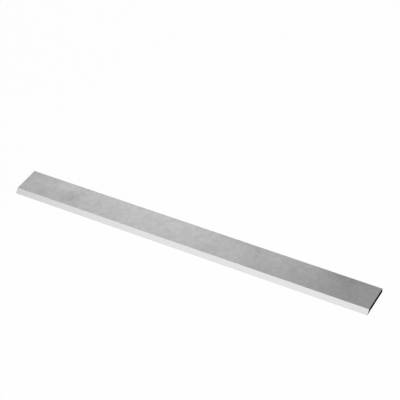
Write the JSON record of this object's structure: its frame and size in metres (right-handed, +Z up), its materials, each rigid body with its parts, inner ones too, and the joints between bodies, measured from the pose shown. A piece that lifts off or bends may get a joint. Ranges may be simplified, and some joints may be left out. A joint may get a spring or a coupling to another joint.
{
  "type": "planer knife",
  "caption": "Straight single-edged planer knife: a flat ground steel bar with a long 45 degree bevel along its front edge and a square back edge.",
  "frame": {"origin": "under the middle of the knife, on the surface that its flat back face lies on", "axes": "+X runs along the knife, the cutting edge faces -Y and the square back edge +Y, and +Z goes up through the thickness"},
  "size_m": [0.28, 0.025, 0.003],
  "materials": {
    "ground_steel": "surface-ground high-speed steel, with a brighter ground bevel and dark heat-treatment scale on the cut ends"
  },
  "bodies": {
    "root": {"planer_knife": "ground_steel"}
  },
  "joints": []
}
